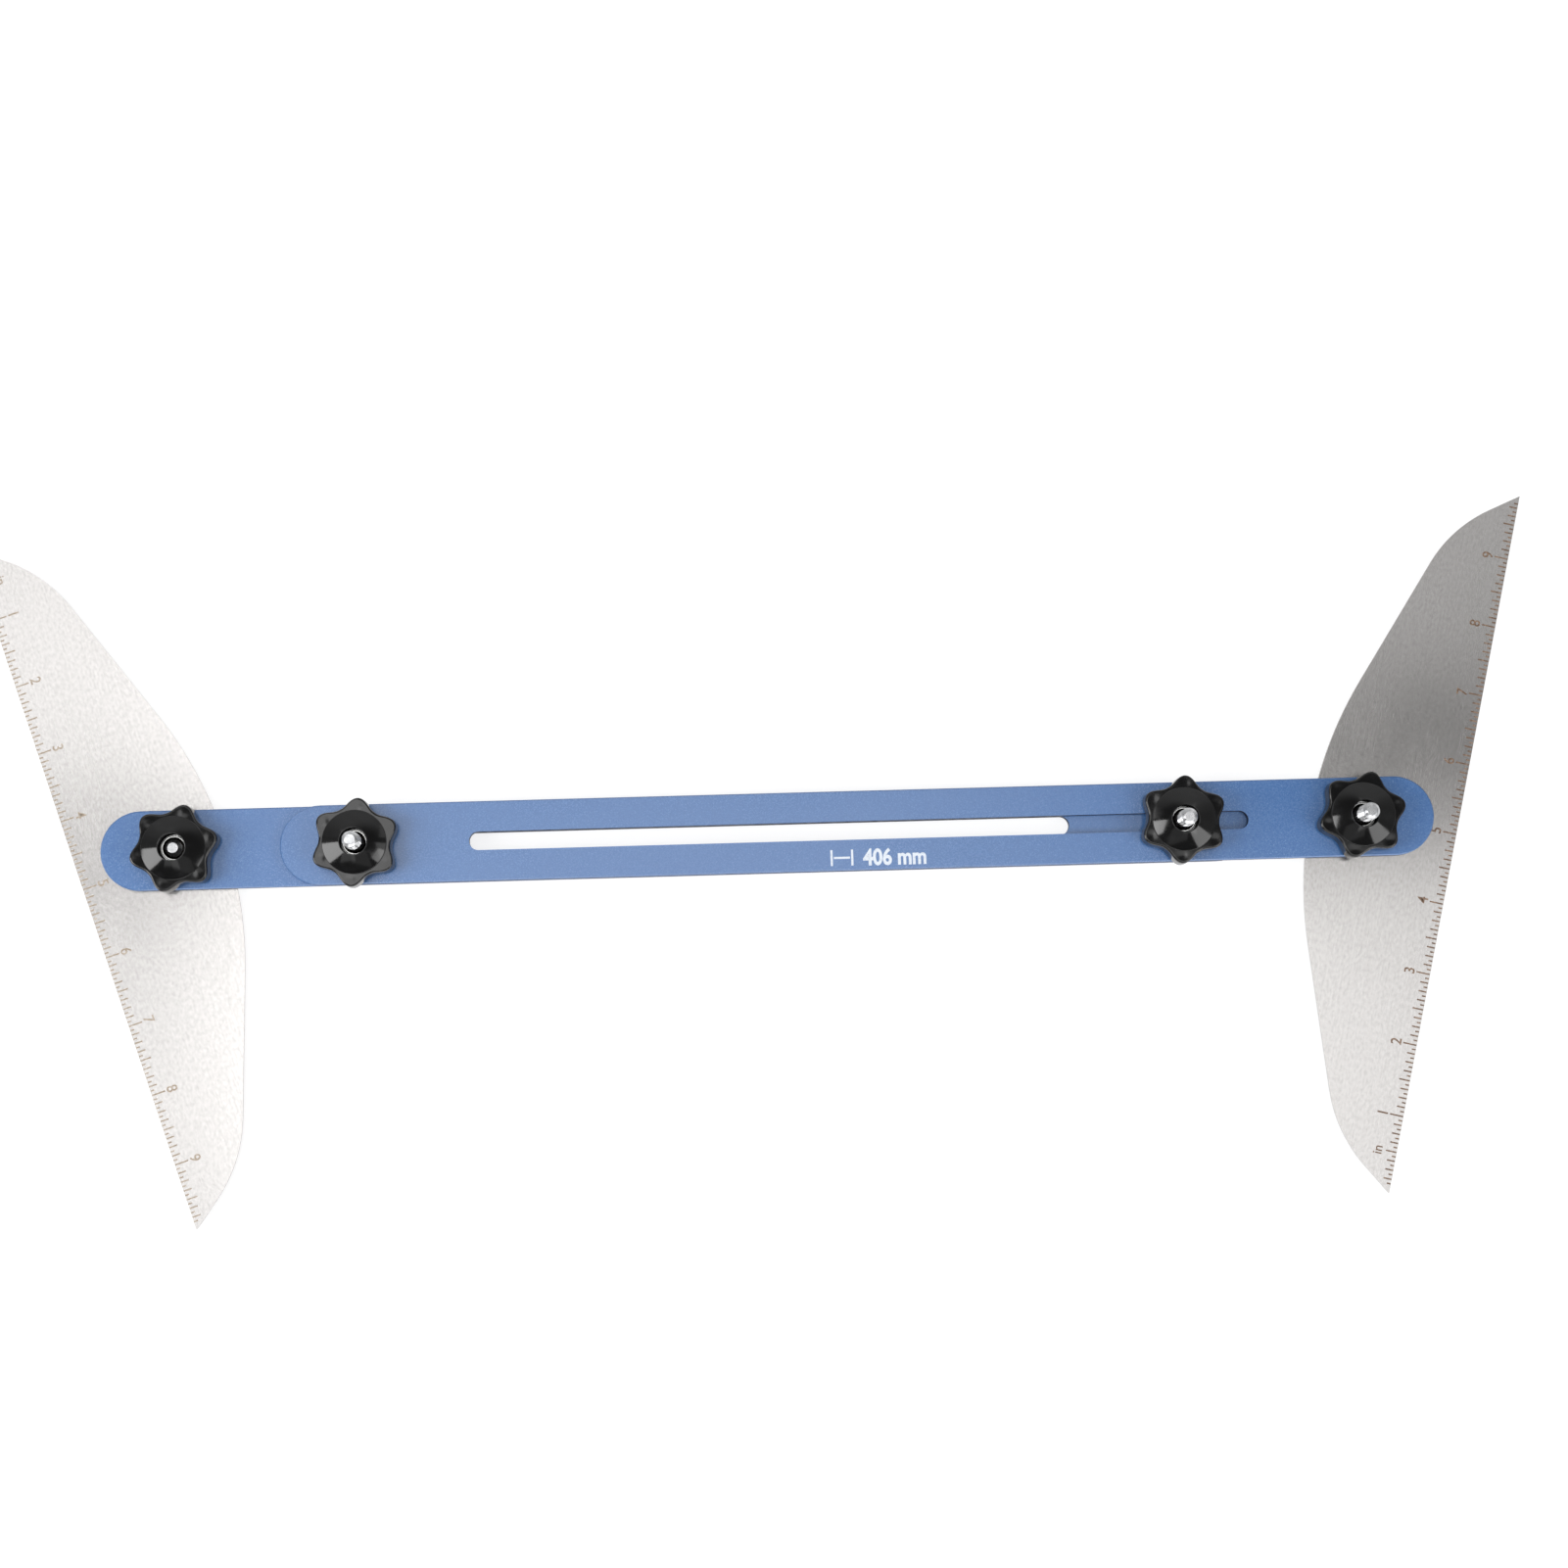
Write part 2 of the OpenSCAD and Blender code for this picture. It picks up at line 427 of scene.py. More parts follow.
@dataclass(frozen=True)
class BrushedSteel(Finish):
    """Brushed steel: fine streaks along the plate, mottled, a little rougher in patches."""

    turn: float = 0.0
    pale: Colour = (0.60, 0.585, 0.575)
    dull: Colour = (0.50, 0.485, 0.475)
    streak_cells: Cells = (0.22 * MM, 14 * MM, 0.22 * MM)
    streak_depth: float = 0.003 * MM
    mottle_cells: Cells = (0.9 * MM, 1.6 * MM, 1 * MM)
    patch_cells: Cells = (28 * MM, 40 * MM, 30 * MM)
    roughness: float = 0.25

    def shader(self, graph: Graph) -> Signal:
        """Streaks stretched along the plate's own length in colour, roughness and relief.

        Args:
            graph: The material's node tree.

        Returns:
            The surface shader.
        """
        cells = (self.streak_cells, self.mottle_cells, self.patch_cells)
        streaks, mottle, patches = (graph.noise(cell, 3.0, self.turn) for cell in cells)
        shade = streaks.swing(1.0) + mottle.swing(1.6) + patches.swing(0.5) + 0.4
        return graph.principled(
            {
                "Base Color": graph.blend(shade.step(0.0, 1.0), self.pale, self.dull),
                "Metallic": 1.0,
                "Roughness": self.roughness + streaks.swing(0.12) + patches.swing(0.08),
                "Normal": graph.bump(streaks, self.streak_depth),
            }
        )


@dataclass(frozen=True)
class ZincPlate(Finish):
    """Zinc plate: silvery grey, faintly clouded and finely pitted."""

    pale: Colour = (0.58, 0.585, 0.595)
    dull: Colour = (0.44, 0.447, 0.46)
    cloud: float = 1.4 * MM
    pit: float = 0.25 * MM
    pit_depth: float = 0.0006 * MM
    roughness: float = 0.28

    def shader(self, graph: Graph) -> Signal:
        """Clouds in colour and roughness over a fine relief.

        Args:
            graph: The material's node tree.

        Returns:
            The surface shader.
        """
        cloud = graph.noise(self.cloud, 4.0)
        return graph.principled(
            {
                "Base Color": graph.blend(cloud.step(0.35, 0.7), self.pale, self.dull),
                "Metallic": 1.0,
                "Roughness": self.roughness + cloud.swing(0.1),
                "Normal": graph.bump(graph.noise(self.pit, 2.0), self.pit_depth),
            }
        )


@dataclass(frozen=True)
class BushPlate(Finish):
    """Plated bushes of the knobs: bright turned rims, and painted shade in the bores, which are coloured
    dark.
    """

    pale: Colour = (0.86, 0.86, 0.85)
    dull: Colour = (0.70, 0.70, 0.69)
    # Near-black painted shade for the upright bore walls.
    bore: Colour = (0.035, 0.03, 0.025)
    cloud: float = 0.9 * MM
    cloud_depth: float = 0.004 * MM
    roughness: float = 0.3

    def shader(self, graph: Graph) -> Signal:
        """Clouded plate where the surface faces along the axis, painted shade elsewhere: the upright bore
        walls are coloured dark.

        Args:
            graph: The material's node tree.

        Returns:
            The surface shader.
        """
        cloud = graph.noise(self.cloud, 4.0)
        plate = graph.blend(cloud.step(0.35, 0.65), self.pale, self.dull)
        return graph.principled(
            {
                # Painted shade: upright surfaces get the dark colour, faces along the axis keep the plate.
                "Base Color": graph.blend(graph.level().step(0.8, 0.95), self.bore, plate),
                "Metallic": 1.0,
                "Roughness": self.roughness + cloud.swing(0.2),
                "Normal": graph.bump(cloud, self.cloud_depth),
            }
        )


@dataclass(frozen=True)
class GlossBlack(Finish):
    """Gloss moulded black plastic: a slow ripple in the gloss and a few duller spots."""

    body: Colour = (0.0028, 0.0028, 0.003)
    film: Colour = (0.006, 0.006, 0.0065)
    ripple: float = 2.2 * MM
    ripple_depth: float = 0.004 * MM
    smear_cells: Cells = (6 * MM, 4 * MM, 5 * MM)
    smear_roughness: float = 0.07
    roughness: float = 0.1
    refraction: float = 1.55

    def shader(self, graph: Graph) -> Signal:
        """Near black with a hint of handling marks in its gloss.

        Args:
            graph: The material's node tree.

        Returns:
            The surface shader.
        """
        smear = graph.noise(self.smear_cells, 5.0)
        return graph.principled(
            {
                "Base Color": graph.blend(smear.step(0.45, 0.7), self.body, self.film),
                "Roughness": self.roughness + smear.step(0.5, 0.75) * self.smear_roughness,
                "Normal": graph.bump(graph.noise(self.ripple, 2.0), self.ripple_depth),
                "IOR": self.refraction,
            }
        )


@dataclass(frozen=True)
class ScaleInk(Finish):
    """Brown etched marks of the scales, unevenly filled."""

    full: Colour = srgb(104, 80, 62)
    thin: Colour = srgb(146, 122, 104)
    fill: float = 0.9 * MM
    fill_range: tuple[float, float] = (0.4, 0.68)
    fill_depth: float = 0.005 * MM
    roughness: float = 0.55

    def shader(self, graph: Graph) -> Signal:
        """Two colours by a fine noise, rough, with a relief where the fill has a depth.

        Args:
            graph: The material's node tree.

        Returns:
            The surface shader.
        """
        fill = graph.noise(self.fill, 3.0)
        sockets = {
            "Base Color": graph.blend(fill.step(*self.fill_range), self.full, self.thin),
            "Roughness": self.roughness + fill.swing(0.2),
        }
        if self.fill_depth:
            sockets["Normal"] = graph.bump(fill, self.fill_depth)
        return graph.principled(sockets)


@dataclass(frozen=True)
class WhitePrint(ScaleInk):
    """White screen print, very slightly rubbed."""

    full: Colour = srgb(226, 233, 242)
    thin: Colour = srgb(196, 208, 226)
    fill: float = 0.6 * MM
    fill_range: tuple[float, float] = (0.5, 0.75)
    fill_depth: float = 0.0
    roughness: float = 0.5


@dataclass(frozen=True)
class FloorPaint(Finish):
    """White table that keeps soft shadows: part glow, part plain white where it is seen."""

    glow: float = 0.78
    matt: Colour = (0.32, 0.32, 0.32)
    bounce: Colour = (0.8, 0.8, 0.8)

    def shader(self, graph: Graph) -> Signal:
        """Glow plus matt white for rays that see the floor, and plain matt white for other light.

        Args:
            graph: The material's node tree.

        Returns:
            The surface shader.
        """
        light = {"Color": (1.0, 1.0, 1.0, 1.0), "Strength": self.glow}
        glow = graph.node("ShaderNodeEmission", None, light)
        matt = graph.node("ShaderNodeBsdfDiffuse", None, {"Color": (*self.matt, 1.0)})
        shown = graph.node("ShaderNodeAddShader", None, {0: glow, 1: matt})
        plain = graph.node("ShaderNodeBsdfDiffuse", None, {"Color": (*self.bounce, 1.0)})
        return graph.node("ShaderNodeMixShader", None, {0: graph.seen(), 1: plain, 2: shown})


@dataclass
class Shell:
    """A closed skin: points and the faces over them."""

    points: Array
    quads: Indices
    triangles: Indices

    @classmethod
    def skin(cls, rings: Array, ends: Ends) -> Shell:
        """Close a grid of rings, each of which runs anticlockwise seen from above.

        Each quad joins a point, the next on its ring, and the two above them on the next ring. Joined rings
        make a tube bent back on itself; capped rings get a centre point and a fan at each end.

        Args:
            rings: Points by ring, column and axis, from the underside up the outside.
            ends: How the first and last rings are closed.

        Returns:
            The skin, with its faces outward.
        """
        rows, columns = rings.shape[:2]
        index = np.arange(rows * columns).reshape(rows, columns)
        aside = np.roll(index, -1, axis=1)
        above, above_aside = np.roll(index, -1, axis=0), np.roll(aside, -1, axis=0)
        quads = np.stack([index, aside, above_aside, above], axis=-1)
        points = rings.reshape(-1, 3)
        if ends is Ends.JOINED:
            return cls(points, quads.reshape(-1, 4), np.empty((0, 3), int))
        poles = np.stack([rings[0].mean(axis=0), rings[-1].mean(axis=0)])
        low, high = (np.full(columns, rows * columns + k) for k in range(2))
        fans = np.concatenate(
            [np.stack([low, aside[0], index[0]], axis=-1), np.stack([high, index[-1], aside[-1]], axis=-1)]
        )
        return cls(np.concatenate([points, poles]), quads[:-1].reshape(-1, 4), fans)

    @classmethod
    def turned(cls, axis: Array, angle: Array, radius: Array, height: Array, ends: Ends) -> Shell:
        """Skin rings round an upright axis, from angles by column and grids of radius and height."""
        plan = [axis[0] + radius * np.cos(angle), axis[1] + radius * np.sin(angle)]
        return cls.skin(np.stack([*plan, height], axis=-1), ends)

    @classmethod
    def sheet(cls, outline: Array, triangles: Indices, proud: float) -> Shell:
        """Thicken a flat triangulated shape into a closed slab.

        The slab has the shape on top, its turned-over copy below, and a wall along each side that only one
        triangle uses.

        Args:
            outline: Flat points by place and axis.
            triangles: Anticlockwise triangles over them.
            proud: Height of the top above the plan, and depth of the underside below it.

        Returns:
            The slab.
        """
        count = len(outline)
        levels = np.repeat([-proud, proud], count)
        points = np.column_stack([np.tile(outline, (2, 1)), levels])
        sides = np.concatenate([triangles[:, [0, 1]], triangles[:, [1, 2]], triangles[:, [2, 0]]])
        ways = sides[:, 0] * count + sides[:, 1]
        rim = sides[~np.isin(ways, sides[:, 1] * count + sides[:, 0])]
        walls = np.column_stack([rim[:, 0], rim[:, 1], rim[:, 1] + count, rim[:, 0] + count])
        return cls(points, walls, np.concatenate([triangles + count, triangles[:, ::-1]]))

    @classmethod
    def joined(cls, shells: Sequence[Shell]) -> Shell:
        """Put several skins into one, with their faces renumbered.

        Args:
            shells: The skins.

        Returns:
            The one skin.
        """
        starts = np.cumsum([0, *(len(shell.points) for shell in shells[:-1])])
        points = np.concatenate([shell.points for shell in shells])
        quads = np.concatenate([shell.quads + k for shell, k in zip(shells, starts)])
        triangles = np.concatenate([shell.triangles + k for shell, k in zip(shells, starts)])
        return cls(points, quads, triangles)

    def moved(self, shift: Array) -> Shell:
        """The skin shifted along the three axes."""
        return Shell(self.points + shift, self.quads, self.triangles)

    def placed(self, middle: Array, along: Array, across: Array) -> Shell:
        """The skin with its origin at the middle and its flat axes along two directions of the part."""
        axes = np.stack([along, across, [0.0, 0.0, 1.0]])
        return Shell(self.points @ axes + middle, self.quads, self.triangles)

    def piece(self, name: str, finish: Finish, crease: float = 40.0) -> bpy.types.Object:
        """Make the skin an object at the origin.

        Args:
            name: Name of the object.
            finish: Finish that it gets.
            crease: Angle in degrees past which an edge stays sharp.

        Returns:
            The object.
        """
        mesh = bpy.data.meshes.new(name)
        faces = [*self.quads.tolist(), *self.triangles.tolist()]
        mesh.from_pydata(self.points.tolist(), [], faces)
        mesh.polygons.foreach_set("use_smooth", np.ones(len(faces), bool))
        mesh.set_sharp_from_angle(angle=math.radians(crease))
        made = bpy.data.objects.new(name, mesh)
        bpy.context.scene.collection.objects.link(made)
        finish.dress(made)
        return made


class Frame:
    """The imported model: its nodes, bodies and mounts."""

    def __init__(self) -> None:
        """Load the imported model."""
        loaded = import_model()
        self.nodes: dict[str, bpy.types.Object] = loaded["nodes"]
        groups: dict[str, list[str]] = loaded["record"]["behaviour"]["bodies"]
        self.body_of = {node: body for body, members in groups.items() for node in members}
        self.mounts = {mount["name"]: mount for mount in loaded["record"]["mounts"]}
        self.box = [list(corner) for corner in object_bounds()]

    def axis(self, station: Station) -> Array:
        """Place of a bolt's axis in the plan."""
        low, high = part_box(f"{station.value}_insert")
        return np.array((low + high) / 2)[:2]

    def swing(self, side: Side) -> float:
        """Turn of a plate's ruled edge from the part's X axis, in radians."""
        axis = self.mounts[f"{side.value}_ruled_edge"]["axis"]
        return math.atan2(axis[1], axis[0])


@dataclass
class StarKnob:
    """Six-lobed knob with a conical top, round its axis."""

    lobes: int = 6
    columns: int = 288
    round_rows: int = 9
    rim_rows: int = 7
    top_rows: int = 13
    lobe_sharpness: float = 1.25
    valley_share: float = 25.2 / 31.4
    flange_height: float = 6.5 * MM
    cone_radius: float = 11.2 * MM
    lobe_share: float = 1.05
    cone_rim: float = 0.7 * MM
    mouth_radius: float = 4.6 * MM
    mouth_round: float = 0.3 * MM
    bore_radius: float = 4.18 * MM
    foot_round: float = 0.7 * MM
    draft: float = 0.15 * MM
    top_round: float = 0.75 * MM
    dimple_radius: float = 12.75 * MM
    dimple_depth: float = 0.06 * MM
    dimple_width: float = 1.1 * MM
    rim_round: float = 0.35 * MM

    def build(self, frame: Frame, station: Station) -> bpy.types.Object:
        """Make the knob in place of its plain solid.

        Args:
            frame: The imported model.
            station: Which knob.

        Returns:
            The knob.
        """
        name = f"{station.value}_knob"
        points = corner_points(frame.nodes[name].data).astype(float)
        axis = frame.axis(station)
        low, high = points[:, 2].min(), points[:, 2].max()
        plan = points[:, :2] - axis
        reach, bearing = np.hypot(*plan.T), np.arctan2(plan[:, 1], plan[:, 0])
        rim = reach > self.cone_radius * self.lobe_share
        swing = np.sum((reach[rim] - reach[rim].mean()) * np.exp(1j * self.lobes * bearing[rim]))
        phase = np.angle(swing) / self.lobes
        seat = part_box(f"{station.value}_insert")[1].z - low
        radius, height = self._profile(reach.max(), high - low, seat)
        angle = np.linspace(0, TAU, self.columns, endpoint=False) + phase
        skin = Shell.turned(axis, angle, radius, low + height, Ends.JOINED)
        made = skin.piece(f"{name}_moulding", GlossBlack(f"{name}_gloss_black"))
        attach(made, frame.body_of[name])
        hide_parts(name)
        return made

    def _profile(self, reach: float, height: float, seat: float) -> tuple[Array, Array]:
        """Radius and height of the skin by row and column.

        The plan is a circle of the valleys' radius plus a swell, which is half of one plus the cosine of
        the lobes times the angle, raised to the sharpness. The rows run from the bore's foot out under the
        flange, round its foot, up its drafted side, over its rounded edge, across the lobes, up the rounded
        rim and the straight cone, over the rounded mouth and down the flaring bore. Each lobe's top has a
        dimple whose depth falls off as a bell curve of the distance from its middle.

        Args:
            reach: Radius over the lobes.
            height: Height of the knob.
            seat: Height of the bush at the bottom of the bore.

        Returns:
            The two grids.
        """
        angle = np.linspace(0, TAU, self.columns, endpoint=False)
        swell = ((1 + np.cos(self.lobes * angle)) / 2) ** self.lobe_sharpness
        outline = reach * (self.valley_share + (1 - self.valley_share) * swell)
        inside = outline - self.draft - self.top_round
        quarter = np.linspace(0, math.pi / 2, self.round_rows)[:, None]
        share = np.linspace(0, 1, self.top_rows)[:, None]
        half = self.top_rows // 2
        crest = self.mouth_radius + self.mouth_round
        slope = math.atan2(height - self.flange_height - self.cone_rim, self.cone_radius - crest)
        lean = math.pi / 2 - slope
        bend = np.linspace(0, lean, self.rim_rows)[:, None]
        start = self.flange_height + self.cone_rim - self.rim_round * math.tan(lean / 2)
        lip = np.linspace(slope, -math.pi / 2, self.round_rows)[:, None]
        lobe_top = inside + (self.cone_radius - inside) * share[1:]
        lobe_angle = np.abs(np.mod(angle * self.lobes / TAU + 0.5, 1.0) - 0.5) * TAU / self.lobes
        away = (lobe_top - self.dimple_radius) ** 2 + (self.dimple_radius * lobe_angle) ** 2
        dimple = self.dimple_depth * np.exp(-away / (2 * self.dimple_width**2))
        rows = [
            (self.bore_radius + (outline - self.foot_round - self.bore_radius) * share[::half], 0.0),
            (
                outline - self.foot_round * (1 - np.sin(quarter[1:])),
                self.foot_round * (1 - np.cos(quarter[1:])),
            ),
            (
                outline - self.draft * share[1::half],
                self.foot_round + (self.flange_height - self.top_round - self.foot_round) * share[1::half],
            ),
            (
                inside + self.top_round * np.cos(quarter),
                self.flange_height - self.top_round * (1 - np.sin(quarter)),
            ),
            (lobe_top, self.flange_height - dimple),
            (self.cone_radius - self.rim_round * (1 - np.cos(bend)), start + self.rim_round * np.sin(bend)),
            (crest + self.mouth_round * np.sin(lip), height - self.mouth_round * (1 - np.cos(lip))),
            (self.bore_radius, seat),
        ]
        return as_grids(rows, self.columns)


@dataclass
class StudBolt:
    """Carriage bolt: low domed head, square neck and a rolled thread with a chamfered end."""

    columns: int = 72
    round_rows: int = 9
    pitch: float = 1.0 * MM
    thread_radius: float = 3.0 * MM
    thread_depth: float = 0.6134 * MM
    crest_top: float = 1.15
    crest_slope: float = 1.3
    plain_end: float = 1.6 * MM
    plain_radius: float = 2.75 * MM
    chamfer: float = 1.2 * MM
    head_radius: float = 6.5 * MM
    head_flat: float = 3.5 * MM
    head_height: float = 2.4 * MM
    rim_height: float = 0.8 * MM
    edge: float = 0.15 * MM
    neck_half: float = 3.0 * MM
    squareness: float = 12.0
    row_step: float = 0.1 * MM

    def build(self, frame: Frame, station: Station, neck: float, turn: float) -> bpy.types.Object:
        """Make the bolt in place of its plain solid.

        Args:
            frame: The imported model.
            station: Which bolt.
            neck: Length of the square neck.
            turn: Turn of the square neck, in radians.

        Returns:
            The bolt.
        """
        name = f"{station.value}_bolt"
        low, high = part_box(name)
        axis = frame.axis(station)
        angle = np.linspace(0, TAU, self.columns, endpoint=False)
        radius, height = self._profile(high.z - low.z, neck, angle - turn, angle)
        skin = Shell.turned(axis, angle, radius, low.z + height, Ends.CAPPED)
        made = skin.piece(f"{name}_threaded", ZincPlate(f"{name}_zinc"), crease=50.0)
        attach(made, frame.body_of[name])
        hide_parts(name)
        return made

    def _profile(self, length: float, neck: float, square: Array, angle: Array) -> tuple[Array, Array]:
        """Radius and height of the skin by row and column.

        The head is a quarter of an ellipse from its flat to its rim. The neck is a superellipse: its half
        width over the root of the sum of the powers of cosine and sine. The thread's radius falls from its
        crest by the depth times a clipped triangle wave of the height in pitches less the angle in turns,
        fades in after the neck and out into the plain end, and is cut by the chamfer there.

        Args:
            length: Height from the head's flat to the end.
            neck: Length of the square neck.
            square: Angle of each column from the neck's own axes.
            angle: Angle of each column.

        Returns:
            The two grids.
        """
        quarter = np.linspace(0, math.pi / 2, self.round_rows)[:, None]
        dome = self.head_height - self.rim_height
        power = self.squareness
        spread = np.abs(np.cos(square)) ** power + np.abs(np.sin(square)) ** power
        outline = self.neck_half / spread ** (1 / power)
        shoulder = self.head_height + neck
        level = np.arange(shoulder + self.row_step, length - self.row_step / 2, self.row_step)[:, None]
        phase = np.mod((level - shoulder) / self.pitch - angle / TAU, 1.0)
        crest = np.clip(self.crest_top - self.crest_slope * np.abs(2 * phase - 1), 0, 1)
        fade = np.clip((level - shoulder) / self.pitch, 0, 1)
        thread = self.thread_radius - self.thread_depth * fade * (1 - crest)
        ending = np.clip((level - length + self.plain_end) / self.pitch, 0, 1)
        thread = thread * (1 - ending) + self.plain_radius * ending
        tip = self.thread_radius - self.chamfer
        thread = np.minimum(thread, tip + (length - level))
        rows = [
            (
                self.head_flat + (self.head_radius - self.head_flat) * np.sin(quarter),
                dome * (1 - np.cos(quarter)),
            ),
            (self.head_radius, self.head_height - self.edge),
            (self.head_radius - self.edge, self.head_height),
            (outline, self.head_height),
            (outline, shoulder),
            (thread, level),
            (tip, length),
            (tip - self.edge, length),
        ]
        return as_grids(rows, self.columns)


@dataclass
class Lettering:
    """Flat figures from the built-in typeface."""

    height: float
    width: float = 1.0
    weight: float = 0.0
    middle: bool = True
    smoothness: int = 4
    merge_digits: int = 5
    least_area: float = 1e-12

    def shell(self, words: str, proud: float) -> Shell:
        """Thicken figures into a closed slab.

        The figures are scaled so that a digit has the wanted height, and centred on their own box or
        started at the origin.

        Args:
            words: What is written.
            proud: Height of the top above the plan, and depth of the underside below it.

        Returns:
            The slab, with its text line along the first axis.
        """
        digit, _ = self._flat("0")
        points, triangles = self._flat(words)
        scale = self.height / np.ptp(digit[:, 1])
        points = (points - [points[:, 0].min(), digit[:, 1].min()]) * scale * [self.width, 1.0]
        if self.middle:
            points = points - [np.ptp(points[:, 0]) / 2, self.height / 2]
        return Shell.sheet(points, triangles, proud)

    def _flat(self, words: str) -> tuple[Array, Indices]:
        """Triangulate the figures with Blender's own typeface.

        Args:
            words: What is written.

        Returns:
            Flat points, doubles merged, and anticlockwise triangles over them.
        """
        curve = bpy.data.curves.new("figures", "FONT")
        curve.body = words
        curve.fill_mode = "FRONT"
        curve.resolution_u = self.smoothness
        curve.offset = self.weight
        holder = bpy.data.objects.new("figures", curve)
        mesh = bpy.data.meshes.new_from_object(holder)
        mesh.calc_loop_triangles()
        plan = corner_points(mesh)[:, :2].round(self.merge_digits)
        corners = np.empty(3 * len(mesh.loop_triangles), np.int32)
        mesh.loop_triangles.foreach_get("vertices", corners)
        bpy.data.objects.remove(holder)
        bpy.data.curves.remove(curve)
        bpy.data.meshes.remove(mesh)
        points, merged = np.unique(plan, axis=0, return_inverse=True)
        triangles = merged.reshape(-1)[corners].reshape(-1, 3).astype(np.int64)
        first, second, third = (points[triangles[:, k]] for k in range(3))
        one, two = second - first, third - first
        area = one[:, 0] * two[:, 1] - one[:, 1] * two[:, 0]
        triangles[area < 0] = triangles[area < 0][:, ::-1]
        return points.astype(float), triangles[np.abs(area) > self.least_area]


@dataclass
class RuledScale:
    """Inch scale etched along the straight edge of a plate."""

    edge_length: float = 10 * INCH
    parts: int = 16
    zero: float = 1.7 * MM
    end_angle: float = math.radians(53)
    end_clearance: float = 0.3 * MM
    mark_width: float = 0.52 * MM
    proud: float = 0.02 * MM
    edge_margin: float = 0.15 * MM
    inch_mark: float = 4.9 * MM
    half_mark: float = 3.95 * MM
    eighth_mark: float = 2.95 * MM
    least_mark: float = 1.5 * MM
    figure_height: float = 3.85 * MM
    figure_middle: float = 7.45 * MM
    unit_place: float = 12.4 * MM
    unit_height: float = 3.4 * MM
    unit_middle: float = 6.9 * MM
    # Paler ink for the left plate: painted light, the marks lightened as if washed out by lamp glare.
    glare_paled: tuple[Colour, Colour] = (srgb(158, 142, 124), srgb(184, 172, 158))

    def build(self, frame: Frame, side: Side) -> bpy.types.Object:
        """Make the marks, figures and unit of one plate.

        The marks lie in the plate's own plan: the first axis runs along the edge from the zero end, the
        second from the edge inwards.

        Args:
            frame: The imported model.
            side: Which plate.

        Returns:
            The scale.
        """
        mount = frame.mounts[f"{side.value}_ruled_edge"]
        outward = np.array(mount["axis"], float)
        along = np.array([-outward[1], outward[0], 0.0])
        start = np.array(mount["pos_m"], float) - along * self.edge_length / 2
        start[2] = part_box(f"{side.value}_plate")[1].z
        figures = Lettering(self.figure_height, width=0.92, weight=0.012)
        unit = Lettering(self.unit_height, width=0.95, weight=0.012)
        shells = [self._marks()]
        for inch in range(1, int((self.edge_length - self.zero) / INCH) + 1):
            spot = np.array([self.zero + inch * INCH, self.figure_middle, 0.0])
            shells.append(figures.shell(str(inch), self.proud).moved(spot))
        spot = np.array([self.zero + self.unit_place, self.unit_middle, 0.0])
        shells.append(unit.shell("in", self.proud).moved(spot))
        whole = Shell.joined(shells).placed(start, along, -outward)
        ink = f"{side.value}_scale_ink"
        # The left plate gets the paler ink, painted light for the glare on that plate.
        finish = ScaleInk(ink, *self.glare_paled) if side is Side.LEFT else ScaleInk(ink)
        made = whole.piece(f"{side.value}_plate_scale", finish)
        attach(made, frame.body_of[f"{side.value}_plate"])
        return made

    def _marks(self) -> Shell:
        """Every mark as a slab of eight corners, all worked out together.

        Marks stand one part of an inch apart, longer at eighths, halves and whole inches. The plate's
        slanted end leaves a mark the distance from the tip times the tangent of the end's angle. A mark is
        cut short by that, and left out where not even the least mark has room.

        Returns:
            The slabs.
        """
        count = int((self.edge_length - 2 * self.zero) / INCH * self.parts) + 1
        order = np.arange(count)
        place = self.zero + order * INCH / self.parts
        length = np.select(
            [order % (self.parts // share) == 0 for share in (1, 2, 8)],
            [self.inch_mark, self.half_mark, self.eighth_mark],
            self.least_mark,
        )
        tip = np.minimum(place, self.edge_length - place)
        room = (tip - self.mark_width) * math.tan(self.end_angle)
        kept = room > self.edge_margin + self.least_mark
        place, length = place[kept], np.minimum(length, room - self.end_clearance)[kept]
        half = self.mark_width / 2
        corners = np.array([[-half, 0], [-half, 1], [half, 1], [half, 0]])
        first = place[:, None] + corners[:, 0]
        second = self.edge_margin + (length - self.edge_margin)[:, None] * corners[:, 1]
        flat = np.stack([first, second], axis=-1)
        levels = (np.full((*first.shape, 1), z) for z in (-self.proud, self.proud))
        points = np.concatenate([np.concatenate([flat, z], axis=-1) for z in levels], axis=1)
        cube = np.array(
            [[0, 1, 2, 3], [7, 6, 5, 4], [0, 4, 5, 1], [1, 5, 6, 2], [2, 6, 7, 3], [3, 7, 4, 0]]
        )
        quads = cube[None] + 8 * np.arange(len(place))[:, None, None]
        return Shell(points.reshape(-1, 3), quads.reshape(-1, 4), np.empty((0, 3), int))


